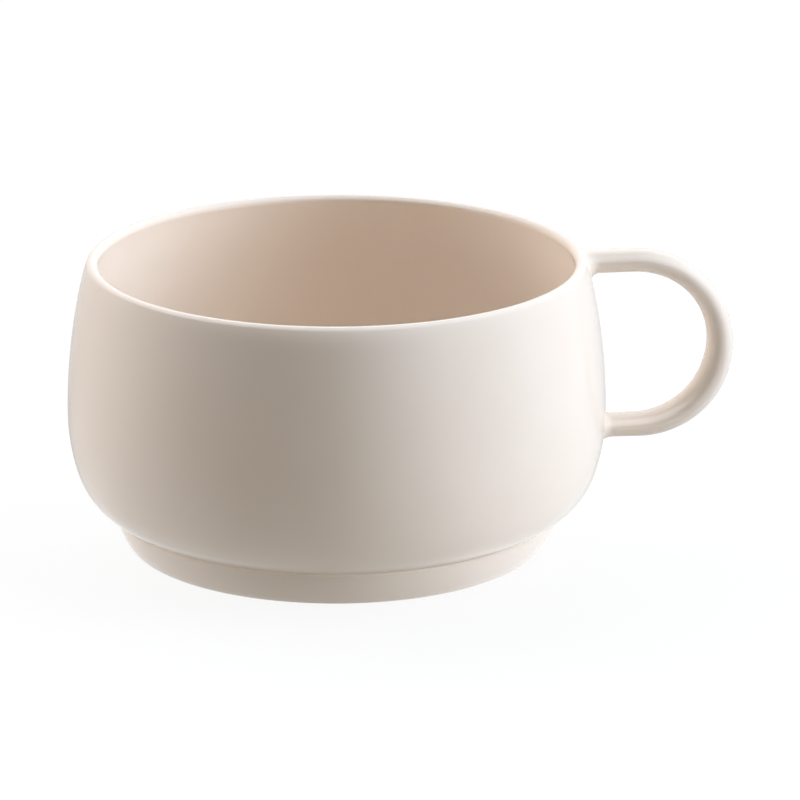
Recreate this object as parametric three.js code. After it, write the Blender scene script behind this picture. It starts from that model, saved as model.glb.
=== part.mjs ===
// A wide tea cup: a round-bellied bowl on a foot ring, with one oval loop handle luted to its side.
// The bowl's axis is parallel to +Z, the handle points along +X, and the cup stands on the plane z = 0,
// with the origin under the middle of the whole cup, handle included.
import * as THREE from 'three';
import { mergeVertices } from 'three/addons/utils/BufferGeometryUtils.js';

// Lengths are in millimetres. Turns and leans are in degrees.

// The bowl's outside is a chain of arcs that touch, up and down from its widest ring.
const bellyRadius = 52.5;
const upperWallRadius = 116;
const upperWallTurn = 12.8;
const shoulderRadius = 29.5;
const shoulderTurn = 7.6;
const lowerWallRadius = 38.4;
const lowerWallTurn = 15.8;
const haunchRadius = 18.9;
const haunchTurn = 9.1;
const undersideRadius = 13.75;

// The wall thickens evenly with depth, from the lip to the floor.
const lipThickness = 2.2;
const floorThickness = 3.6;
const undersideRise = 0.6;

// The foot ring starts at the crease, where the bowl's underside leans this far, and narrows downwards.
const creaseLean = 66.8;
const footHeight = 7.25;
const footLedge = 0.25;
const footShoulderRadius = 0.5;
const footWallLean = 8.2;
const footWallTurn = 27.9;
const footEdgeRadius = 3.4;
const footInnerInset = 2.6;
const footInnerDraft = 0.7;
const footInnerEdgeRadius = 0.7;

// The handle is a loop of oval section. Its upper arm lies this far below the lip's crest.
const armDrop = 0.3;
const handleThickness = 4.5;
const handleDepth = 6.5;
const handleSwell = 1.05;
const handleSwellPlaceShare = 0.67;
const handleSwellReachShare = 0.35;
const loopHeight = 33.5;
const upperArmLength = 9.3;
const upperBendRadius = 17.5;
const upperBendTurn = 53;
const lowerBendRadius = 16.2;
const lowerBendTurn = 73.5;

// A slip joint flares from each arm to the wall. Below the lip its top flares less.
const jointReach = 2.4;
const jointFlare = 1.9;
const jointTopFlareShare = 0.12;
const jointClearance = 0.3;

// How finely the round forms are cut into faces.
const turnSegments = 64;
const outlineStep = 3.6;
const undersideStep = 10.8;
const edgeStep = 0.8;
const ovalSides = 20;
const handleStep = 2.6;
const flareRings = 6;
const capRings = 3;

const radians = THREE.MathUtils.degToRad;
const degrees = THREE.MathUtils.radToDeg;
const quarterTurn = 90;
const halfTurn = 180;

// Outlines are lists of points { r, z, facing }, where facing is the direction that the surface faces,
// in degrees above the horizontal, seen on the +X side.

function facingVector(facing) {
  return { r: Math.cos(radians(facing)), z: Math.sin(radians(facing)) };
}

// Adds an arc that touches the outline's last point: a positive turn goes up round a bulging side.
function addArc(outline, radius, turn, step) {
  const start = outline.at(-1);
  const from = facingVector(start.facing);
  const count = Math.max(2, Math.ceil(Math.abs(radians(turn)) * radius / step));
  for (let i = 1; i <= count; i++) {
    const facing = start.facing + turn * i / count;
    const to = facingVector(facing);
    outline.push({ r: start.r + radius * (to.r - from.r), z: start.z + radius * (to.z - from.z), facing });
  }
  return outline;
}

function raise(outline, height) {
  return outline.map((p) => ({ ...p, z: p.z + height }));
}

// The bowl's outside below the widest ring, from that ring to the flat of the underside.
function lowerOutline() {
  const outline = [{ r: bellyRadius, z: 0, facing: 0 }];
  addArc(outline, lowerWallRadius, -lowerWallTurn, outlineStep);
  addArc(outline, haunchRadius, -haunchTurn, outlineStep);
  addArc(outline, undersideRadius, lowerWallTurn + haunchTurn - creaseLean, outlineStep);
  const creaseIndex = outline.length - 1;
  addArc(outline, undersideRadius, creaseLean - quarterTurn, outlineStep);
  return { outline: raise(outline, footHeight - outline[creaseIndex].z), creaseIndex };
}

const lower = lowerOutline();
const crease = lower.outline[lower.creaseIndex];
const flatEdge = lower.outline.at(-1);
const bellyHeight = lower.outline[0].z;

// The bowl's outside above the widest ring, up to where the lip's rounding starts.
const upper = [{ r: bellyRadius, z: bellyHeight, facing: 0 }];
addArc(upper, upperWallRadius, upperWallTurn, outlineStep);
addArc(upper, shoulderRadius, shoulderTurn, outlineStep);
const lip = addArc([upper.at(-1)], lipThickness / 2, halfTurn, edgeStep);
const crestHeight = Math.max(...lip.map((p) => p.z));
const crestIndex = lip.findIndex((p) => p.z === crestHeight);

// From the flat of the underside up to the lip's rounding.
const outside = [...lower.outline].reverse().concat(upper.slice(1));

function wallThickness(z) {
  const depthShare = (upper.at(-1).z - z) / (upper.at(-1).z - flatEdge.z);
  return lipThickness + (floorThickness - lipThickness) * depthShare;
}

function insidePoint(p) {
  const out = facingVector(p.facing);
  return { r: p.r - out.r * wallThickness(p.z), z: p.z - out.z * wallThickness(p.z) };
}

// The underside rises a little towards its middle, so that it stays clear of the table.
function undersideHeight(r) {
  return flatEdge.z + undersideRise * (1 - (r / flatEdge.r) ** 2);
}

const footInnerRadius = flatEdge.r - footInnerInset;

// Where the foot ring meets the bowl, from the ring's inner corner out to the crease.
const seat = [{ r: footInnerRadius, z: undersideHeight(footInnerRadius) }]
  .concat([...lower.outline.slice(lower.creaseIndex)].reverse());

function turned(outline) {
  const points = outline.map((p) => new THREE.Vector2(p.r, p.z));
  return new THREE.LatheGeometry(points, turnSegments).rotateX(Math.PI / 2);
}

function bowlGeometry() {
  const middle = [];
  const count = Math.ceil(footInnerRadius / undersideStep);
  for (let i = 0; i < count; i++) {
    const r = footInnerRadius * i / count;
    middle.push({ r, z: undersideHeight(r) });
  }
  const inside = [...outside].reverse().slice(1).map(insidePoint);
  const floorMiddle = { r: 0, z: inside.at(-1).z };
  return turned([...middle, seat[0], ...outside, ...lip.slice(1), ...inside, floorMiddle]);
}

// The foot's wall is one arc whose radius follows from the height that is left between its two edges.
// Its shoulder rises straight from the crease where the ledge is narrower than the shoulder's radius.
function footGeometry() {
  const flatLedge = Math.max(0, footLedge - footShoulderRadius);
  const shoulderFacing = degrees(Math.acos(Math.max(0, 1 - footLedge / footShoulderRadius)));
  const outline = [{ r: crease.r + flatLedge, z: crease.z, facing: shoulderFacing }];
  addArc(outline, footShoulderRadius, -footWallLean - shoulderFacing, edgeStep);
  const wallEnd = footWallLean + footWallTurn;
  const turnDepth = Math.sin(radians(wallEnd)) - Math.sin(radians(footWallLean));
  const edgeDepth = footEdgeRadius * (1 - Math.sin(radians(wallEnd)));
  const wallRadius = (outline.at(-1).z - edgeDepth) / turnDepth;
  addArc(outline, wallRadius, -footWallTurn, outlineStep);
  addArc(outline, footEdgeRadius, wallEnd - quarterTurn, edgeStep);
  const innerFoot = footInnerRadius + footInnerDraft + footInnerEdgeRadius;
  const innerEdge = addArc(
    [{ r: innerFoot, z: 0, facing: -quarterTurn }], footInnerEdgeRadius, -quarterTurn, edgeStep);
  const ledge = flatLedge > 0 ? [crease] : [];
  return turned([...outline, ...innerEdge, ...seat.slice(0, -1), ...ledge, outline[0]].reverse());
}

// The bowl's outer radius at a height up to the crest's, read from its outline and the lip's outer half.
function bowlRadiusAt(z) {
  const side = outside.concat(lip.slice(1, crestIndex + 1));
  const i = Math.max(1, side.findIndex((p) => p.z >= z));
  const share = (z - side[i - 1].z) / (side[i].z - side[i - 1].z);
  return side[i - 1].r + (side[i].r - side[i - 1].r) * share;
}

function bowlFaceX(y, z) {
  return Math.sqrt(bowlRadiusAt(z) ** 2 - y ** 2);
}

// Closes a stack of rings of equal count, each a list of Vector3, with a fan over each end.
function loft(rings, firstMiddle, lastMiddle) {
  const sides = rings[0].length;
  const vertices = rings.flat().concat([firstMiddle, lastMiddle]);
  const first = vertices.length - 2;
  const last = vertices.length - 1;
  const faces = [];
  for (let k = 0; k < sides; k++) {
    const next = (k + 1) % sides;
    faces.push(first, next, k);
    for (let i = 0; i + 1 < rings.length; i++) {
      const a = i * sides;
      const b = a + sides;
      faces.push(a + k, a + next, b + next, a + k, b + next, b + k);
    }
    const end = (rings.length - 1) * sides;
    faces.push(last, end + k, end + next);
  }
  const geometry = new THREE.BufferGeometry().setFromPoints(vertices);
  geometry.setIndex(faces);
  return mergeVertices(geometry);
}

// The handle's centre line lies in the plane y = 0: points { x, z, heading }, heading down from +X.
function handlePath() {
  const upperZ = crestHeight - armDrop - handleThickness / 2;
  const lowerZ = upperZ - loopHeight;
  const middleTurn = halfTurn - upperBendTurn - lowerBendTurn;
  const drop = (radius, from, to) => radius * (Math.cos(radians(from)) - Math.cos(radians(to)));
  const lowerStart = halfTurn - lowerBendTurn;
  const middleRadius = (loopHeight - drop(upperBendRadius, 0, upperBendTurn)
    - drop(lowerBendRadius, lowerStart, halfTurn)) / drop(1, upperBendTurn, lowerStart);
  const path = [{ x: bowlFaceX(0, upperZ) + jointReach, z: upperZ, heading: 0 }];
  straight(path, bowlFaceX(0, upperZ) + upperArmLength);
  bend(path, upperBendRadius, upperBendTurn);
  bend(path, middleRadius, middleTurn);
  bend(path, lowerBendRadius, lowerBendTurn);
  straight(path, bowlFaceX(0, lowerZ) + jointReach);
  return path;
}

function straight(path, x) {
  const start = path.at(-1);
  const count = Math.max(1, Math.round(Math.abs(x - start.x) / handleStep));
  for (let i = 1; i <= count; i++) {
    path.push({ ...start, x: start.x + (x - start.x) * i / count });
  }
}

function bend(path, radius, turn) {
  const start = path.at(-1);
  const count = Math.ceil(radians(turn) * radius / handleStep);
  for (let i = 1; i <= count; i++) {
    const heading = start.heading + turn * i / count;
    path.push({
      x: start.x + radius * (Math.sin(radians(heading)) - Math.sin(radians(start.heading))),
      z: start.z + radius * (Math.cos(radians(heading)) - Math.cos(radians(start.heading))),
      heading,
    });
  }
}

function lengthsAlong(path) {
  const lengths = [0];
  for (let i = 1; i < path.length; i++) {
    lengths.push(lengths[i - 1] + Math.hypot(path[i].x - path[i - 1].x, path[i].z - path[i - 1].z));
  }
  return lengths;
}

// The handle's thickness at a share of its length: it swells round the lower bend.
function thicknessAt(lengthShare) {
  const away = (lengthShare - handleSwellPlaceShare) / handleSwellReachShare;
  const swell = Math.abs(away) < 1 ? Math.cos(away * Math.PI / 2) ** 2 : 0;
  return handleThickness + handleSwell * swell;
}

// An oval ring across the handle's centre line, from the loop's outer side round towards -Y.
function ovalRing(place, thickness, depth) {
  const out = { x: Math.sin(radians(place.heading)), z: Math.cos(radians(place.heading)) };
  const ring = [];
  for (let k = 0; k < ovalSides; k++) {
    const angle = 2 * Math.PI * k / ovalSides;
    const side = Math.cos(angle) * thickness / 2;
    ring.push(new THREE.Vector3(
      place.x + out.x * side, -Math.sin(angle) * depth / 2, place.z + out.z * side));
  }
  return ring;
}

const path = handlePath();
const lengths = lengthsAlong(path);
const handleRings = path.map((place, i) => (
  ovalRing(place, thicknessAt(lengths[i] / lengths.at(-1)), handleDepth)));

function middleOf(place) {
  return new THREE.Vector3(place.x, 0, place.z);
}

function handleGeometry() {
  return loft(handleRings, middleOf(path[0]), middleOf(path.at(-1)));
}

// A slip joint runs from an arm's end ring to the bowl. Each ring spreads in the arm's end plane and
// moves towards the wall on a quarter oval, so that it leaves the arm and meets the wall smoothly.
function jointGeometry(armRing, armMiddle, topFlareShare) {
  const wallPoint = (y, z) => new THREE.Vector3(bowlFaceX(y, z) + jointClearance, y, z);
  const spread = (corner, flare) => {
    const y = corner.y - armMiddle.y;
    const z = corner.z - armMiddle.z;
    const size = Math.hypot(y, z);
    const upShare = Math.max(0, z / size);
    const grow = 1 + flare * (1 - (1 - topFlareShare) * upShare) / size;
    return { y: armMiddle.y + y * grow, z: armMiddle.z + z * grow };
  };
  const rings = [];
  for (let i = 0; i <= flareRings; i++) {
    const angle = (Math.PI / 2) * i / flareRings;
    rings.push(armRing.map((corner) => {
      const to = spread(corner, jointFlare * (1 - Math.cos(angle)));
      const wall = wallPoint(to.y, to.z);
      wall.x += (armMiddle.x - wall.x) * (1 - Math.sin(angle));
      return wall;
    }));
  }
  const rim = rings.at(-1);
  for (let i = 1; i < capRings; i++) {
    const share = 1 - i / capRings;
    rings.push(rim.map((p) => (
      wallPoint(armMiddle.y + (p.y - armMiddle.y) * share, armMiddle.z + (p.z - armMiddle.z) * share))));
  }
  return loft(rings, armMiddle, wallPoint(armMiddle.y, armMiddle.z));
}

// A joint's rings advance towards the bowl, as the lower arm's do, so the upper arm's ring is reversed.
const upperRing = [...handleRings[0]].reverse();
const lowerRing = handleRings.at(-1);

const glaze = { color: 0xe9ddd1, roughness: 0.12, metalness: 0 };
const clay = { color: 0xe2d5c6, roughness: 0.5, metalness: 0 };

function mesh(name, geometry, finish) {
  const piece = new THREE.Mesh(geometry, new THREE.MeshStandardMaterial(finish));
  piece.name = name;
  return piece;
}

const cup = new THREE.Group();
cup.add(mesh('bowl', bowlGeometry(), glaze));
cup.add(mesh('foot_ring', footGeometry(), clay));
cup.add(mesh('handle', handleGeometry(), glaze));
cup.add(mesh('upper_handle_joint', jointGeometry(upperRing, middleOf(path[0]), jointTopFlareShare), clay));
cup.add(mesh('lower_handle_joint', jointGeometry(lowerRing, middleOf(path.at(-1)), 1), clay));

const bounds = new THREE.Box3().setFromObject(cup);
cup.position.x = -(bounds.min.x + bounds.max.x) / 2;

export default cup;
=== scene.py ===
import bisect
import math

import bmesh
import bpy
from bpy.props import FloatProperty, FloatVectorProperty, IntProperty, PointerProperty
from mathutils import Matrix, Vector
from mathutils.geometry import intersect_sphere_sphere_2d


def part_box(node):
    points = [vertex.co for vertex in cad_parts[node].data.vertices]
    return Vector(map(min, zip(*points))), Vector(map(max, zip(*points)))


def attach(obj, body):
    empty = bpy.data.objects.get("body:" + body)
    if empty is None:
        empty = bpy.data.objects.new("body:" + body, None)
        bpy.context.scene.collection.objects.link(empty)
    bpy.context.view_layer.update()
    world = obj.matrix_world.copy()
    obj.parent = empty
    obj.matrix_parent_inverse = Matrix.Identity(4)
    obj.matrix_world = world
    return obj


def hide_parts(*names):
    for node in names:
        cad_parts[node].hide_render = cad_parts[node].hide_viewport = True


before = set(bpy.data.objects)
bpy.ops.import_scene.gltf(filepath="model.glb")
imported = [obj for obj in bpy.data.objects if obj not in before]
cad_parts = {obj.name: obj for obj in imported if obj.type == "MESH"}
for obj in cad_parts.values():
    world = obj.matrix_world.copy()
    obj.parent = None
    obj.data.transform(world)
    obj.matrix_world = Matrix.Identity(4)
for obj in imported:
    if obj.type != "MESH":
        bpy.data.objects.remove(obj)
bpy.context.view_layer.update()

bl_info = {
    "name": "Tea Cup",
    "version": (1, 0, 0),
    "blender": (4, 5, 0),
    "location": "View3D > Sidebar > Tea Cup",
    "description": "Models and glazes a wide tea cup with a loop handle, and sets up its studio",
    "category": "Add Mesh",
}

MM = 0.001

BOWL_LOW, BOWL_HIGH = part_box("bowl")
_, FOOT_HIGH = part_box("foot_ring")
HANDLE_LOW, HANDLE_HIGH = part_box("handle")
_, UPPER_JOINT_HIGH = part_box("upper_handle_joint")
_, LOWER_JOINT_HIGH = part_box("lower_handle_joint")
AXIS_X = (BOWL_LOW.x + BOWL_HIGH.x) / 2

# The steps in which arcs are cut: along walls, and round small edges.
WALL_STEP = 1.2 * MM
EDGE_STEP = 0.12 * MM

SAME_VERTEX = 0.001 * MM
SHARP_EDGE = math.radians(40)
# How far the slip's end lies in the wall's surface.
SLIP_SINK = 0.02 * MM

GLAZE_IOR = 1.52
# Where the glaze starts and ends to thin and to lighten below the lip's crest, the lightening a painted
# highlight, and how far from the crease it darkens, as painted shade.
LIP_HIGHLIGHT_FROM, LIP_HIGHLIGHT_TO = BOWL_HIGH.z - 0.9 * MM, BOWL_HIGH.z - 0.1 * MM
CREASE_SHADE_REACH = 0.35 * MM
# The heights between which the glaze gives way to bare clay, and how far that line wavers.
BARE_BELOW, GLAZED_ABOVE = 0.26 * MM, 0.38 * MM
BARE_WAVER = 0.25 * MM

FLOOR_RADIUS = 4
# Share of the floor's look that is lit paper, which shows the cup's shadow.
PAPER_SHARE = 0.1
# Degrees above the horizon between which the room's low light becomes the high light, and that ends.
LOW_TO_HIGH = (10, 40)
HIGH_TO_NONE = (55, 75)
SENSOR_WIDTH = 36


def length(name, description, default):
    return FloatProperty(name=name, description=description, default=default, min=0, precision=5, unit="LENGTH")


def angle(name, description, degrees):
    return FloatProperty(name=name, description=description, default=math.radians(degrees), subtype="ANGLE")


def share(name, description, default):
    return FloatProperty(name=name, description=description, default=default, min=0, max=1, subtype="FACTOR")


def levels(name, description, default):
    """Levels at even steps round the cup, from behind it round by the camera's left."""
    return FloatVectorProperty(name=name, description=description, default=default, min=0, size=len(default))


def colour(name, description, default):
    return FloatVectorProperty(name=name, description=description, default=default, min=0, max=1,
                               size=3, subtype="COLOR")


class BowlSizes(bpy.types.PropertyGroup):
    belly_radius: length("Belly radius", "Outer radius of the bowl's widest ring",
                         (BOWL_HIGH.x - BOWL_LOW.x) / 2)
    crease_height: length("Crease height", "Height at which the foot ring meets the bowl", FOOT_HIGH.z)
    upper_wall_radius: length("Upper wall radius", "Radius of the arc above the widest ring", 116 * MM)
    upper_wall_turn: angle("Upper wall turn", "How far that arc turns", 12.8)
    shoulder_radius: length("Shoulder radius", "Radius of the arc that leads to the lip", 29.5 * MM)
    shoulder_turn: angle("Shoulder turn", "How far that arc turns", 7.6)
    lower_wall_radius: length("Lower wall radius", "Radius of the arc below the widest ring", 38.4 * MM)
    lower_wall_turn: angle("Lower wall turn", "How far that arc turns", 15.8)
    haunch_radius: length("Haunch radius", "Radius of the tighter arc below it", 18.9 * MM)
    haunch_turn: angle("Haunch turn", "How far that arc turns", 9.1)
    underside_radius: length("Underside radius", "Radius of the arc that runs in under the bowl", 13.75 * MM)
    crease_lean: angle("Crease lean", "How far the underside faces down at the crease", 66.8)
    lip_thickness: length("Lip thickness", "Thickness of the wall where the lip's rounding starts", 2.2 * MM)
    floor_thickness: length("Floor thickness", "Thickness of the wall at the edge of the floor", 3.6 * MM)
    underside_rise: length("Underside rise", "How far the underside rises to its middle", 0.6 * MM)
    segments: IntProperty(name="Segments", description="Faces round the turned pieces", default=192, min=12)


class FootSizes(bpy.types.PropertyGroup):
    ledge: length("Ledge", "How far the foot stands out from the crease", 0.25 * MM)
    shoulder_radius: length("Shoulder radius", "Radius of the foot's upper edge", 0.5 * MM)
    crease_fillet: length("Crease fillet", "Radius of the glaze that fills the crease", 0.25 * MM)
    wall_lean: angle("Wall lean", "How far the foot's wall faces down at its top", 8.2)
    wall_turn: angle("Wall turn", "How far the foot's wall turns on its way down", 27.9)
    edge_radius: length("Edge radius", "Radius of the foot's lower outer edge", 3.4 * MM)
    inner_inset: length("Inner inset", "How far the recess stops short of the underside's curve", 2.6 * MM)
    inner_draft: length("Inner draft", "How much wider the recess is at its mouth", 0.7 * MM)
    inner_edge_radius: length("Inner edge radius", "Radius of the foot's lower inner edge", 0.7 * MM)
    inner_fillet: length("Inner fillet", "Radius of the glaze in the recess's corner", 0.6 * MM)


class HandleSizes(bpy.types.PropertyGroup):
    thickness: length("Thickness", "Thickness of the loop seen from its side", 4.5 * MM)
    depth: length("Depth", "Width of the loop seen from its end", HANDLE_HIGH.y - HANDLE_LOW.y)
    swell: length("Swell", "How much thicker the loop is at its lower bend", 1.05 * MM)
    swell_place: share("Swell place", "Where along the loop it is thickest", 0.67)
    swell_reach: share("Swell reach", "How far along the loop the swell reaches each way", 0.35)
    loop_height: length("Loop height", "Height between the arms' centre lines", 33.5 * MM)
    upper_arm: length("Upper arm", "Length of the straight upper arm, from the slip to the bend", 6.9 * MM)
    upper_bend_radius: length("Upper bend radius", "Radius of the loop's first bend", 17.5 * MM)
    upper_bend_turn: angle("Upper bend turn", "How far that bend turns", 53)
    lower_bend_radius: length("Lower bend radius", "Radius of the loop's last bend", 16.2 * MM)
    lower_bend_turn: angle("Lower bend turn", "How far that bend turns", 73.5)
    joint_flare: length("Joint flare", "How far the slip spreads on the wall", 1.9 * MM)
    joint_top_share: share("Joint top share", "Share of that by which the slip spreads up to the lip", 0.12)
    sides: IntProperty(name="Sides", description="Faces round the loop's section", default=56, min=12)


class GlazeColours(bpy.types.PropertyGroup):
    glaze: colour("Glaze", "Colour of the glaze", (0.80, 0.705, 0.61))
    warm_glaze: colour("Warm glaze", "Colour of the glaze where it is a little thicker", (0.785, 0.68, 0.58))
    # Painted highlight: lighter than the glaze, along the lip, where the glaze also runs thin.
    thin_glaze_and_highlight: colour("Thin glaze with painted highlight", "Colour of the glaze where it runs thin over the lip",
                       (0.83, 0.745, 0.655))
    # Painted shade: darker and browner than the glaze, laid into the crease between bowl and foot.
    painted_crease_shade: colour("Painted crease shade", "Colour of the glaze where it pools in the crease", (0.70, 0.57, 0.45))
    clay: colour("Bare clay", "Colour of the bare fired clay", (0.72, 0.63, 0.53))
    grit: colour("Grit", "Colour of the grains in the bare clay", (0.52, 0.43, 0.34))


class StudioSettings(bpy.types.PropertyGroup):
    turn: angle("Turn", "How far the camera looks away from +Y towards the handle", 8)
    elevation: angle("Elevation", "How far the camera looks down", 16.879)
    distance: length("Distance", "From the camera to the point that it aims at", 1.3125)
    aim: FloatVectorProperty(name="Aim", description="The point that the camera aims at",
                             default=(0.00039, 0.00622, 0.02639), size=3, subtype="XYZ", unit="LENGTH")
    lens: FloatProperty(name="Lens", description="Focal length in millimetres", default=300.65, min=1)
    low_light: levels("Low light", "Brightness of the room up to about 25 degrees above the horizon",
                      (0, 0.2, 1.5, 7.6, 2.3, 0.3, 0, 0, 0.9, 0, 0, 5, 15, 0.3, 0, 0))
    high_light: levels("High light", "Brightness of the room above that, up to about 65 degrees",
                       (3.8, 4.6, 0.5, 0, 0, 0, 4.8, 2))
    floor_light: FloatProperty(name="Floor light", default=0.55, min=0,
                               description="Brightness of the light that the floor throws back")
    low_gloss: levels("Low gloss", "Brightness of what the glaze mirrors from below and from the side",
                      (0.8, 0.5, 1, 0.8, 0.3, 1.5, 1.1, 0.6))
    high_gloss: levels("High gloss", "Brightness of what the glaze mirrors from above",
                       (1, 1.7, 4, 4, 4, 4, 3.4, 1))
    behind_tint: colour("Behind tint", "Colour of the light from behind", (0.96, 0.98, 1))
    left_tint: colour("Left tint", "Colour of the light from the left", (1, 0.97, 1))
    front_tint: colour("Front tint", "Colour of the light from the camera's side", (1, 0.7, 0.3))
    right_tint: colour("Right tint", "Colour of the light from the right", (0.675, 0.805, 1))


class Outline:
    """A line of vertices in the plane y = 0, drawn as arcs that touch.

    Facing is the direction that the surface faces, up from +X. An arc of negative radius is hollow.
    """

    def __init__(self, mesh, radius, height, facing):
        self.mesh = mesh
        self.verts = [mesh.verts.new((AXIS_X + radius, 0, height))]
        self.facings = [facing]

    def arc(self, radius, turn, step):
        facing = self.facings[-1]
        centre = self.verts[-1].co - radius * Vector((math.cos(facing), 0, math.sin(facing)))
        count = max(4, math.ceil(abs(turn * radius) / step))
        for i in range(1, count + 1):
            made = bmesh.ops.spin(self.mesh, geom=[self.verts[-1]], cent=centre, axis=(0, -1, 0),
                                  angle=turn / count, steps=1)
            self.verts += [g for g in made["geom_last"] if isinstance(g, bmesh.types.BMVert)]
            self.facings.append(facing + turn * i / count)

    def line(self, radius, height, facing):
        self.verts.append(self.mesh.verts.new((AXIS_X + radius, 0, height)))
        self.facings.append(facing)
        self.mesh.edges.new(self.verts[-2:])

    def raise_by(self, height):
        bmesh.ops.translate(self.mesh, verts=self.verts, vec=(0, 0, height))


def radius_of(vert):
    return vert.co.x - AXIS_X


def turned(mesh, segments):
    bmesh.ops.spin(mesh, geom=mesh.verts[:] + mesh.edges[:], cent=(AXIS_X, 0, 0), axis=(0, 0, 1),
                   angle=math.tau, steps=segments, use_merge=True)
    bmesh.ops.remove_doubles(mesh, verts=mesh.verts, dist=SAME_VERTEX)
    bmesh.ops.recalc_face_normals(mesh, faces=mesh.faces)
    return mesh


def finished(name, mesh, material, node):
    """Makes the piece's object, which stands for a CAD node and rides on the cup's one body."""
    for face in mesh.faces:
        face.smooth = True
    for edge in mesh.edges:
        edge.smooth = edge.calc_face_angle(0) < SHARP_EDGE
    data = bpy.data.meshes.new(name)
    mesh.to_mesh(data)
    mesh.free()
    data.materials.append(material)
    piece = bpy.data.objects.new(name, data)
    bpy.context.scene.collection.objects.link(piece)
    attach(piece, "root")
    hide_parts(node)


def draw_lower_wall(mesh, sizes):
    """The outside from the widest ring down to the flat of the underside, and the crease's place in it."""
    outline = Outline(mesh, sizes.belly_radius, 0, 0)
    outline.arc(sizes.lower_wall_radius, -sizes.lower_wall_turn, WALL_STEP)
    outline.arc(sizes.haunch_radius, -sizes.haunch_turn, WALL_STEP)
    to_crease = sizes.lower_wall_turn + sizes.haunch_turn - sizes.crease_lean
    outline.arc(sizes.underside_radius, to_crease, WALL_STEP)
    crease = len(outline.verts) - 1
    outline.arc(sizes.underside_radius, sizes.crease_lean - math.pi / 2, WALL_STEP)
    outline.raise_by(sizes.crease_height - outline.verts[crease].co.z)
    return outline, crease


def draw_upper_wall(mesh, sizes, belly_height):
    outline = Outline(mesh, sizes.belly_radius, belly_height, 0)
    outline.arc(sizes.upper_wall_radius, sizes.upper_wall_turn, WALL_STEP)
    outline.arc(sizes.shoulder_radius, sizes.shoulder_turn, WALL_STEP)
    return outline


def underside_height(radius, flat_radius, flat_height, rise):
    return flat_height + rise * (1 - (radius / flat_radius) ** 2)


def model_bowl(sizes):
    mesh = bmesh.new()
    lower, _ = draw_lower_wall(mesh, sizes)
    upper = draw_upper_wall(mesh, sizes, lower.verts[0].co.z)
    wall = list(zip(upper.verts[::-1] + lower.verts[1:], upper.facings[::-1] + lower.facings[1:]))
    lip_height, flat_edge = upper.verts[-1].co.z, lower.verts[-1]
    flat_radius, flat_height = radius_of(flat_edge), flat_edge.co.z
    upper.arc(sizes.lip_thickness / 2, math.pi, EDGE_STEP)
    for vert, facing in wall[1:]:
        depth = (lip_height - vert.co.z) / (lip_height - flat_height)
        thickness = sizes.lip_thickness + (sizes.floor_thickness - sizes.lip_thickness) * depth
        upper.line(radius_of(vert) - math.cos(facing) * thickness,
                   vert.co.z - math.sin(facing) * thickness, facing)
    upper.line(0, upper.verts[-1].co.z, math.pi / 2)
    rings = 16
    for i in range(rings - 1, -1, -1):
        radius = flat_radius * i / rings
        height = underside_height(radius, flat_radius, flat_height, sizes.underside_rise)
        lower.line(radius, height, -math.pi / 2)
    return turned(mesh, sizes.segments)


def model_foot(sizes, foot):
    """One closed outline: the glaze in the crease, the wall, the standing ring, the recess and the seat."""
    mesh = bmesh.new()
    lower, crease = draw_lower_wall(mesh, sizes)
    crease_radius, crease_height = radius_of(lower.verts[crease]), lower.verts[crease].co.z
    flat_radius, flat_height = radius_of(lower.verts[-1]), lower.verts[-1].co.z
    bmesh.ops.delete(mesh, geom=lower.verts, context="VERTS")

    under = Vector((flat_radius, flat_height + sizes.underside_radius))
    shoulder = Vector((crease_radius + foot.ledge, crease_height)) - Vector((1, 1)) * foot.shoulder_radius
    hollow = max(intersect_sphere_sphere_2d(under, sizes.underside_radius + foot.crease_fillet,
                                            shoulder, foot.shoulder_radius + foot.crease_fillet),
                 key=lambda point: point.x)
    top_facing = math.atan2(*(hollow - under).yx)
    ledge_facing = math.atan2(*(hollow - shoulder).yx)
    top = under + sizes.underside_radius * Vector((math.cos(top_facing), math.sin(top_facing)))

    outline = Outline(mesh, top.x, top.y, top_facing)
    outline.arc(-foot.crease_fillet, ledge_facing - top_facing, EDGE_STEP)
    outline.arc(foot.shoulder_radius, -foot.wall_lean - ledge_facing, EDGE_STEP)
    wall_end = foot.wall_lean + foot.wall_turn
    wall_depth = outline.verts[-1].co.z - foot.edge_radius * (1 - math.sin(wall_end))
    outline.arc(wall_depth / (math.sin(wall_end) - math.sin(foot.wall_lean)), -foot.wall_turn, WALL_STEP)
    outline.arc(foot.edge_radius, wall_end - math.pi / 2, EDGE_STEP)
    recess_radius = flat_radius - foot.inner_inset
    outline.line(recess_radius + foot.inner_draft + foot.inner_edge_radius, 0, -math.pi / 2)
    outline.arc(foot.inner_edge_radius, -math.pi / 2, EDGE_STEP)
    corner_height = underside_height(recess_radius - foot.inner_fillet, flat_radius, flat_height,
                                     sizes.underside_rise)
    outline.line(recess_radius, corner_height - foot.inner_fillet, -math.pi)
    outline.arc(-foot.inner_fillet, math.pi / 2, EDGE_STEP)
    outline.line(flat_radius, flat_height, -math.pi / 2)
    outline.arc(sizes.underside_radius, top_facing + math.pi / 2, WALL_STEP)
    return turned(mesh, sizes.segments)


def arm_heights(handle):
    upper = HANDLE_HIGH.z - handle.thickness / 2
    return upper, upper - handle.loop_height


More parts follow.
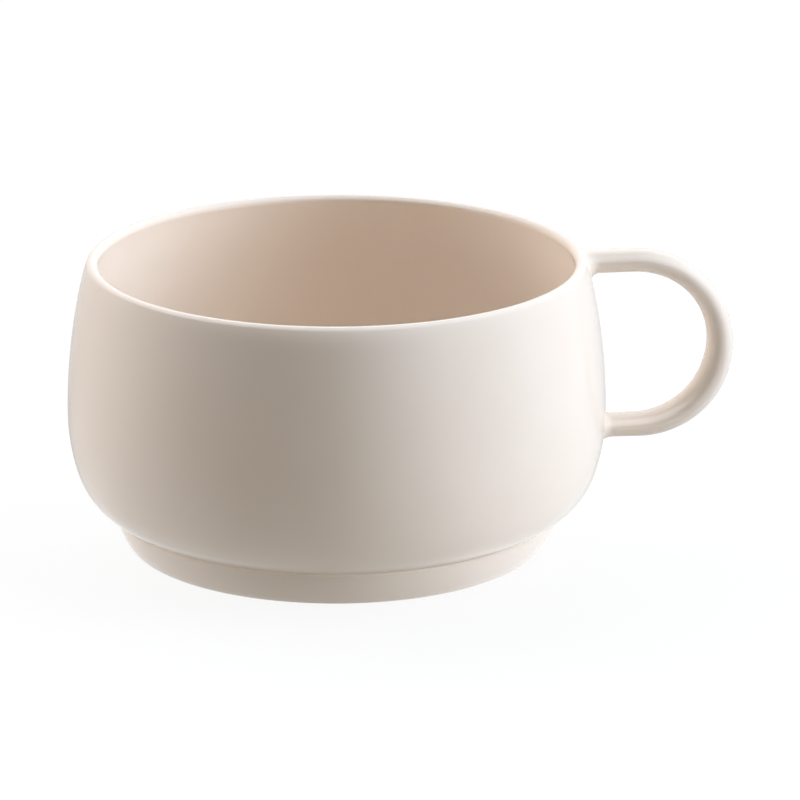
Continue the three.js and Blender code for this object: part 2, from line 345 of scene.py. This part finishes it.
def bends(handle):
    """The loop's three bends, each a radius and a turn. The middle one takes up what height is left."""
    last = math.pi - handle.lower_bend_turn

    def drop(radius, start, end):
        return radius * (math.cos(start) - math.cos(end))

    left = (handle.loop_height - drop(handle.upper_bend_radius, 0, handle.upper_bend_turn)
            - drop(handle.lower_bend_radius, last, math.pi))
    return ((handle.upper_bend_radius, handle.upper_bend_turn),
            (left / drop(1, handle.upper_bend_turn, last), last - handle.upper_bend_turn),
            (handle.lower_bend_radius, handle.lower_bend_turn))


def reach_of(handle):
    """How far the loop's end of bending lies beyond its start, along +X."""
    reach, heading = 0, 0
    for radius, turn in bends(handle):
        reach += radius * (math.sin(heading + turn) - math.sin(heading))
        heading += turn
    return reach


def thickness_at(handle, travelled):
    """The loop's thickness at a share of its length."""
    away = (travelled - handle.swell_place) / handle.swell_reach
    return handle.thickness + (handle.swell * math.cos(away * math.pi / 2) ** 2 if abs(away) < 1 else 0)


def oval_ring(mesh, handle, place, thickness):
    made = bmesh.ops.create_circle(mesh, segments=handle.sides, radius=0.5,
                                   matrix=Matrix.Rotation(math.pi / 2, 4, "Y"))
    bmesh.ops.scale(mesh, vec=(1, handle.depth, thickness), verts=made["verts"])
    bmesh.ops.translate(mesh, vec=place, verts=made["verts"])
    return made["verts"]


def edges_of(verts):
    return list({edge for vert in verts for edge in vert.link_edges if all(v in verts for v in edge.verts)})


def taken(geom, kind):
    return [g for g in geom if isinstance(g, kind)]


class Sweep:
    """Carries the loop's section along its centre line and scales it to the loop's thickness."""

    def __init__(self, mesh, handle, place, total):
        self.mesh, self.handle, self.place, self.total = mesh, handle, Vector(place), total
        self.heading = self.travelled = 0.0
        self.thickness = thickness_at(handle, 0)
        self.verts = oval_ring(mesh, handle, place, self.thickness)
        self.edges = edges_of(self.verts)

    def take(self, geom, travelled):
        self.verts = taken(geom, bmesh.types.BMVert)
        self.edges = taken(geom, bmesh.types.BMEdge)
        self.travelled += travelled
        thickness = thickness_at(self.handle, self.travelled / self.total)
        ring_frame = Matrix.Translation(self.place) @ Matrix.Rotation(self.heading, 4, "Y")
        bmesh.ops.scale(self.mesh, vec=(1, 1, thickness / self.thickness), space=ring_frame.inverted(),
                        verts=self.verts)
        self.thickness = thickness

    def straight(self, x):
        count = max(2, math.ceil(abs(x - self.place.x) / WALL_STEP))
        step = Vector(((x - self.place.x) / count, 0, 0))
        for _ in range(count):
            made = bmesh.ops.extrude_edge_only(self.mesh, edges=self.edges)
            bmesh.ops.translate(self.mesh, vec=step, verts=taken(made["geom"], bmesh.types.BMVert))
            self.place += step
            self.take(made["geom"], step.length)

    def bend(self, radius, turn):
        centre = self.place - radius * Vector((math.sin(self.heading), 0, math.cos(self.heading)))
        count = math.ceil(turn * radius / (WALL_STEP / 2))
        rotation = Matrix.Rotation(turn / count, 3, "Y")
        for _ in range(count):
            made = bmesh.ops.spin(self.mesh, geom=self.verts + self.edges, cent=centre, axis=(0, 1, 0),
                                  angle=turn / count, steps=1)
            self.place = centre + rotation @ (self.place - centre)
            self.heading += turn / count
            self.take(made["geom_last"], radius * turn / count)


def model_handle(handle):
    upper_height, _ = arm_heights(handle)
    bend_start = UPPER_JOINT_HIGH.x + handle.upper_arm
    bend_end = bend_start + reach_of(handle)
    total = (handle.upper_arm + sum(radius * turn for radius, turn in bends(handle))
             + bend_end - LOWER_JOINT_HIGH.x)
    mesh = bmesh.new()
    sweep = Sweep(mesh, handle, (UPPER_JOINT_HIGH.x, 0, upper_height), total)
    first = sweep.edges
    sweep.straight(bend_start)
    for radius, turn in bends(handle):
        sweep.bend(radius, turn)
    sweep.straight(LOWER_JOINT_HIGH.x)
    bmesh.ops.edgeloop_fill(mesh, edges=first)
    bmesh.ops.edgeloop_fill(mesh, edges=sweep.edges)
    bmesh.ops.recalc_face_normals(mesh, faces=mesh.faces)
    return mesh


def wall_outline(sizes):
    """Heights and radii of the bowl's outside, from its underside up to the lip's crest."""
    mesh = bmesh.new()
    lower, _ = draw_lower_wall(mesh, sizes)
    upper = draw_upper_wall(mesh, sizes, lower.verts[0].co.z)
    upper.arc(sizes.lip_thickness / 2, math.pi / 2 - upper.facings[-1], EDGE_STEP / 4)
    verts = lower.verts[::-1] + upper.verts[1:]
    heights, radii = [v.co.z for v in verts], [radius_of(v) for v in verts]
    mesh.free()
    return heights, radii


def model_joint(sizes, handle, place, thickness, top_share):
    """Slip that leaves the arm's end ring along the arm and spreads on a quarter oval to lie on the wall."""
    heights, radii = wall_outline(sizes)
    place = Vector(place)

    def wall_x(y, z):
        i = min(bisect.bisect(heights, z), len(heights) - 1)
        across = (z - heights[i - 1]) / (heights[i] - heights[i - 1])
        radius = radii[i - 1] + (radii[i] - radii[i - 1]) * min(1, across)
        return AXIS_X + math.sqrt(radius ** 2 - y ** 2) - SLIP_SINK

    mesh = bmesh.new()
    first = edges = edges_of(oval_ring(mesh, handle, place, thickness))
    steps = 28
    for i in range(1, steps + 1):
        turn = math.pi / 2 * i / steps
        made = bmesh.ops.extrude_edge_only(mesh, edges=edges)
        edges = taken(made["geom"], bmesh.types.BMEdge)
        for vert in taken(made["geom"], bmesh.types.BMVert):
            out = Vector((vert.co.y - place.y, vert.co.z - place.z)).normalized()
            arm = 0.5 / math.hypot(out.x / handle.depth, out.y / thickness)
            flare = handle.joint_flare * (1 - math.cos(turn)) * (1 - (1 - top_share) * max(0, out.y))
            y, z = out * (arm + flare)
            wall = wall_x(y, place.z + z)
            vert.co = (wall + (place.x - wall) * (1 - math.sin(turn)), y, place.z + z)
    bmesh.ops.edgeloop_fill(mesh, edges=first)
    bmesh.ops.edgeloop_fill(mesh, edges=edges)
    bmesh.ops.recalc_face_normals(mesh, faces=mesh.faces)
    return mesh


def add(tree, kind, values=None, **settings):
    """Adds a node, sets what it has set, and fills its inputs with values or with other nodes' outputs."""
    node = tree.nodes.new(kind)
    for name, setting in settings.items():
        setattr(node, name, setting)
    for key, value in (values or {}).items():
        if isinstance(value, bpy.types.NodeSocket):
            tree.links.new(value, node.inputs[key])
        else:
            node.inputs[key].default_value = value
    return node


def ramped(tree, value, low, high, to_low=0.0, to_high=1.0, interpolation="SMOOTHSTEP"):
    node = add(tree, "ShaderNodeMapRange", {"Value": value, "From Min": low, "From Max": high, "To Min": to_low,
                                            "To Max": to_high}, interpolation_type=interpolation)
    return node.outputs["Result"]


def blended(tree, factor, first, second):
    node = add(tree, "ShaderNodeMix", {"Factor": factor}, data_type="RGBA")
    for key, value in ((6, first), (7, second)):
        if isinstance(value, bpy.types.NodeSocket):
            tree.links.new(value, node.inputs[key])
        else:
            node.inputs[key].default_value = (*value, 1)
    return node.outputs[2]


def noise(tree, place, scale, detail=2.0, roughness=0.5):
    node = add(tree, "ShaderNodeTexNoise", {"Vector": place, "Scale": scale, "Detail": detail,
                                            "Roughness": roughness})
    return node.outputs["Fac"]


def scaled(tree, value, factor):
    return add(tree, "ShaderNodeMath", {0: value, 1: factor}, operation="MULTIPLY").outputs[0]


def summed(tree, first, second):
    return add(tree, "ShaderNodeMath", {0: first, 1: second}, operation="ADD").outputs[0]


def glaze_colour(tree, place, height, colours, crease_height):
    """Cream with faint warmer clouds, thinner and lighter over the lip, the lightening a painted highlight, and
    darker at the crease, as painted shade.
    """
    clouds = ramped(tree, noise(tree, place, 22, 3, 0.55), 0.35, 0.65)
    glaze = blended(tree, clouds, colours.glaze, colours.warm_glaze)
    # Painted highlight: the glaze grows lighter towards the lip's crest, where it also runs thin.
    lip = ramped(tree, height, LIP_HIGHLIGHT_FROM, LIP_HIGHLIGHT_TO, 0, 0.75)
    glaze = blended(tree, lip, glaze, colours.thin_glaze_and_highlight)
    # Painted shade: the glaze darkens towards the crease's height.
    from_crease = add(tree, "ShaderNodeMath", {0: summed(tree, height, -crease_height)}, operation="ABSOLUTE")
    crease_shade_share = ramped(tree, from_crease.outputs[0], 0, CREASE_SHADE_REACH, 0.15, 0)
    return blended(tree, crease_shade_share, glaze, colours.painted_crease_shade)


def glaze_roughness(tree, place):
    return ramped(tree, noise(tree, place, 60, 4, 0.6), 0.3, 0.7, 0.045, 0.085, "LINEAR")


def glaze_ripple(tree, place):
    """The glaze's slight orange peel: long ripples and finer ones."""
    long_ripples, fine_ripples = noise(tree, place, 160, 1, 0.4), noise(tree, place, 620, 2, 0.5)
    ripples = summed(tree, long_ripples, scaled(tree, fine_ripples, 0.25))
    bump = add(tree, "ShaderNodeBump", {"Height": ripples, "Strength": 0.35, "Distance": 0.02 * MM})
    return bump.outputs["Normal"]


def new_material(name):
    material = bpy.data.materials.new(name)
    material.use_nodes = True
    material.node_tree.nodes.clear()
    return material, material.node_tree


def output(tree, shader):
    add(tree, "ShaderNodeOutputMaterial", {"Surface": shader})


def place_and_height(tree):
    place = add(tree, "ShaderNodeTexCoord").outputs["Object"]
    return place, add(tree, "ShaderNodeSeparateXYZ", {"Vector": place}).outputs["Z"]


def glaze_shader(tree, place, height, colours, crease_height):
    return add(tree, "ShaderNodeBsdfPrincipled", {
        "Base Color": glaze_colour(tree, place, height, colours, crease_height),
        "Roughness": glaze_roughness(tree, place),
        "Normal": glaze_ripple(tree, place),
        "IOR": GLAZE_IOR,
    }).outputs[0]


def glaze_material(colours, crease_height):
    name = "cream glaze"
    if name in bpy.data.materials:
        return bpy.data.materials[name]
    material, tree = new_material(name)
    place, height = place_and_height(tree)
    output(tree, glaze_shader(tree, place, height, colours, crease_height))
    return material


def foot_material(colours, crease_height):
    """The same glaze, with the standing ring wiped bare: matt, grainy clay up to an uneven line."""
    material, tree = new_material("foot glaze and bare clay")
    place, height = place_and_height(tree)
    edge = summed(tree, height, scaled(tree, noise(tree, place, 300, 3), BARE_WAVER))
    bare = ramped(tree, edge, BARE_BELOW, GLAZED_ABOVE, 1, 0)
    grains = noise(tree, place, 2600, 2)
    clay = blended(tree, ramped(tree, grains, 0.55, 0.72), colours.clay, colours.grit)
    bump = add(tree, "ShaderNodeBump", {"Height": grains, "Strength": 0.6, "Distance": 0.03 * MM})
    matt = add(tree, "ShaderNodeBsdfPrincipled", {"Base Color": clay, "Roughness": 0.8,
                                                  "Normal": bump.outputs["Normal"]})
    glazed = glaze_shader(tree, place, height, colours, crease_height)
    mixed = add(tree, "ShaderNodeMixShader", {0: bare, 1: glazed, 2: matt.outputs[0]})
    output(tree, mixed.outputs[0])
    return material


class TEACUP_OT_bowl(bpy.types.Operator):
    """Model the bowl: a round belly, a thin rounded lip and a flat underside"""
    bl_idname = "mesh.tea_cup_bowl"
    bl_label = "Bowl"

    def execute(self, context):
        cup = context.scene.tea_cup
        glaze = glaze_material(cup.colours, cup.bowl.crease_height)
        finished("glazed_bowl", model_bowl(cup.bowl), glaze, "bowl")
        return {"FINISHED"}


class TEACUP_OT_foot(bpy.types.Operator):
    """Model the foot ring under the bowl, with its bare standing ring"""
    bl_idname = "mesh.tea_cup_foot"
    bl_label = "Foot Ring"

    def execute(self, context):
        cup = context.scene.tea_cup
        material = foot_material(cup.colours, cup.bowl.crease_height)
        finished("glazed_foot_ring", model_foot(cup.bowl, cup.foot), material, "foot_ring")
        return {"FINISHED"}


class TEACUP_OT_handle(bpy.types.Operator):
    """Model the loop handle between its two slip joints"""
    bl_idname = "mesh.tea_cup_handle"
    bl_label = "Handle"

    def execute(self, context):
        cup = context.scene.tea_cup
        glaze = glaze_material(cup.colours, cup.bowl.crease_height)
        finished("glazed_handle", model_handle(cup.handle), glaze, "handle")
        return {"FINISHED"}


class TEACUP_OT_joints(bpy.types.Operator):
    """Model the slip that joins each arm of the handle to the bowl"""
    bl_idname = "mesh.tea_cup_joints"
    bl_label = "Slip Joints"

    def execute(self, context):
        cup = context.scene.tea_cup
        glaze = glaze_material(cup.colours, cup.bowl.crease_height)
        upper, lower = arm_heights(cup.handle)
        joints = (("upper", (UPPER_JOINT_HIGH.x, 0, upper), 0, cup.handle.joint_top_share),
                  ("lower", (LOWER_JOINT_HIGH.x, 0, lower), 1, 1))
        for name, place, travelled, top_share in joints:
            mesh = model_joint(cup.bowl, cup.handle, place, thickness_at(cup.handle, travelled), top_share)
            finished(f"glazed_{name}_joint", mesh, glaze, f"{name}_handle_joint")
        return {"FINISHED"}


def dot(tree, vector, axis):
    return add(tree, "ShaderNodeVectorMath", {0: vector, 1: axis}, operation="DOT_PRODUCT").outputs["Value"]


def bearing(tree, vector, studio):
    """Where a vector points round the cup: nought and one behind it, a quarter on the camera's left."""
    to_camera = dot(tree, vector, (-math.sin(studio.turn), -math.cos(studio.turn), 0))
    to_right = dot(tree, vector, (math.cos(studio.turn), -math.sin(studio.turn), 0))
    turn = add(tree, "ShaderNodeMath", {0: to_right, 1: to_camera}, operation="ARCTAN2").outputs[0]
    return summed(tree, scaled(tree, turn, 1 / math.tau), 0.5)


def ring(tree, place, colours):
    """Changes evenly between the colours given round the cup."""
    node = add(tree, "ShaderNodeValToRGB", {"Fac": place})
    stops = node.color_ramp.elements
    stops[0].color = stops[1].color = (*colours[0], 1)
    for i, part in enumerate(colours[1:], 1):
        stops.new(i / len(colours)).color = (*part, 1)
    return node.outputs["Color"]


def greys(brightness):
    return [(level, level, level) for level in brightness]


def seen_directly(tree):
    path = add(tree, "ShaderNodeLightPath").outputs
    return add(tree, "ShaderNodeMath", {0: path["Is Camera Ray"], 1: path["Is Transmission Ray"]},
               operation="ADD", use_clamp=True).outputs[0]


def floor_material(studio):
    """Seen as white with the cup's faint shadow, mirrored as the room is, and else an even light from below."""
    material, tree = new_material("pale floor")
    place = add(tree, "ShaderNodeTexCoord").outputs["Object"]
    from_axis = add(tree, "ShaderNodeVectorMath", {0: place, 1: (AXIS_X, 0, 0)}, operation="SUBTRACT")
    mirrored = ring(tree, bearing(tree, from_axis.outputs[0], studio), greys(studio.low_gloss))
    glossy = add(tree, "ShaderNodeLightPath").outputs["Is Glossy Ray"]
    seen = seen_directly(tree)
    level = blended(tree, glossy, (studio.floor_light,) * 3, mirrored)
    glow = add(tree, "ShaderNodeEmission", {"Color": blended(tree, seen, level, (1, 1, 1))})
    grain = ramped(tree, noise(tree, place, 900, 2), 0.3, 0.7)
    paper = add(tree, "ShaderNodeBsdfDiffuse", {"Color": blended(tree, grain, *greys((0.84, 0.88)))})
    mixed = add(tree, "ShaderNodeMixShader", {0: scaled(tree, seen, PAPER_SHARE), 1: glow.outputs[0],
                                              2: paper.outputs[0]})
    output(tree, mixed.outputs[0])
    return material


def risen(tree, rise, degrees):
    """Goes from nought to one between two heights above the horizon."""
    low, high = (math.sin(math.radians(height)) for height in degrees)
    return ramped(tree, rise, low, high)


def set_world(studio):
    """A room that is seen as white, and lights the cup from low on the right and the left and from behind."""
    world = bpy.data.worlds.new("studio")
    world.use_nodes = True
    tree = world.node_tree
    tree.nodes.clear()
    place = add(tree, "ShaderNodeTexCoord").outputs["Generated"]
    rise = add(tree, "ShaderNodeSeparateXYZ", {"Vector": place}).outputs["Z"]
    above, overhead = risen(tree, rise, LOW_TO_HIGH), risen(tree, rise, HIGH_TO_NONE)
    around = bearing(tree, place, studio)
    room = blended(tree, above, ring(tree, around, greys(studio.low_light)),
                   ring(tree, around, greys(studio.high_light)))
    room = blended(tree, overhead, room, (0, 0, 0))
    tint = ring(tree, around, (studio.behind_tint, studio.left_tint, studio.front_tint, studio.right_tint))
    room = add(tree, "ShaderNodeMix", {0: 1.0, 6: room, 7: tint}, data_type="RGBA",
               blend_type="MULTIPLY").outputs[2]
    mirrored = blended(tree, above, ring(tree, around, greys(studio.low_gloss)),
                       ring(tree, around, greys(studio.high_gloss)))
    glossy = add(tree, "ShaderNodeLightPath").outputs["Is Glossy Ray"]
    level = blended(tree, seen_directly(tree), blended(tree, glossy, room, mirrored), (1, 1, 1))
    background = add(tree, "ShaderNodeBackground", {"Color": level})
    add(tree, "ShaderNodeOutputWorld", {"Surface": background.outputs[0]})
    bpy.context.scene.world = world


class TEACUP_OT_studio(bpy.types.Operator):
    """Set up the pale floor, the room's soft light and the camera"""
    bl_idname = "scene.tea_cup_studio"
    bl_label = "Studio"

    def execute(self, context):
        scene = context.scene
        studio = scene.tea_cup.studio
        mesh = bmesh.new()
        bmesh.ops.create_circle(mesh, cap_ends=True, segments=96, radius=FLOOR_RADIUS)
        data = bpy.data.meshes.new("pale_floor")
        mesh.to_mesh(data)
        mesh.free()
        data.materials.append(floor_material(studio))
        floor = bpy.data.objects.new("pale_floor", data)
        scene.collection.objects.link(floor)

        set_world(studio)

        camera = bpy.data.objects.new("camera", bpy.data.cameras.new("camera"))
        towards = Vector((math.sin(studio.turn) * math.cos(studio.elevation),
                          math.cos(studio.turn) * math.cos(studio.elevation), -math.sin(studio.elevation)))
        camera.location = Vector(studio.aim) - studio.distance * towards
        camera.rotation_euler = towards.to_track_quat("-Z", "Y").to_euler()
        camera.data.lens = studio.lens
        camera.data.sensor_width = SENSOR_WIDTH
        scene.collection.objects.link(camera)
        scene.camera = camera
        scene.view_settings.view_transform = "Standard"
        return {"FINISHED"}


class TeaCup(bpy.types.PropertyGroup):
    bowl: PointerProperty(type=BowlSizes)
    foot: PointerProperty(type=FootSizes)
    handle: PointerProperty(type=HandleSizes)
    colours: PointerProperty(type=GlazeColours)
    studio: PointerProperty(type=StudioSettings)


STEPS = (TEACUP_OT_bowl, TEACUP_OT_foot, TEACUP_OT_handle, TEACUP_OT_joints, TEACUP_OT_studio)


class TEACUP_PT_panel(bpy.types.Panel):
    """Sizes, colours and steps of the tea cup"""
    bl_idname = "TEACUP_PT_panel"
    bl_label = "Tea Cup"
    bl_space_type = "VIEW_3D"
    bl_region_type = "UI"
    bl_category = "Tea Cup"

    def draw(self, context):
        cup = context.scene.tea_cup
        for step in STEPS:
            self.layout.operator(step.bl_idname)
        for name in ("bowl", "foot", "handle", "colours", "studio"):
            column = self.layout.box().column()
            group = getattr(cup, name)
            for prop in group.bl_rna.properties:
                if prop.identifier not in {"rna_type", "name"}:
                    column.prop(group, prop.identifier)


CLASSES = (BowlSizes, FootSizes, HandleSizes, GlazeColours, StudioSettings, TeaCup, *STEPS,
           TEACUP_PT_panel)


def register():
    for cls in CLASSES:
        bpy.utils.register_class(cls)
    bpy.types.Scene.tea_cup = PointerProperty(type=TeaCup)


def unregister():
    del bpy.types.Scene.tea_cup
    for cls in reversed(CLASSES):
        bpy.utils.unregister_class(cls)


def main():
    register()
    bpy.ops.mesh.tea_cup_bowl()
    bpy.ops.mesh.tea_cup_foot()
    bpy.ops.mesh.tea_cup_handle()
    bpy.ops.mesh.tea_cup_joints()
    bpy.ops.scene.tea_cup_studio()


if __name__ == "__main__":
    main()
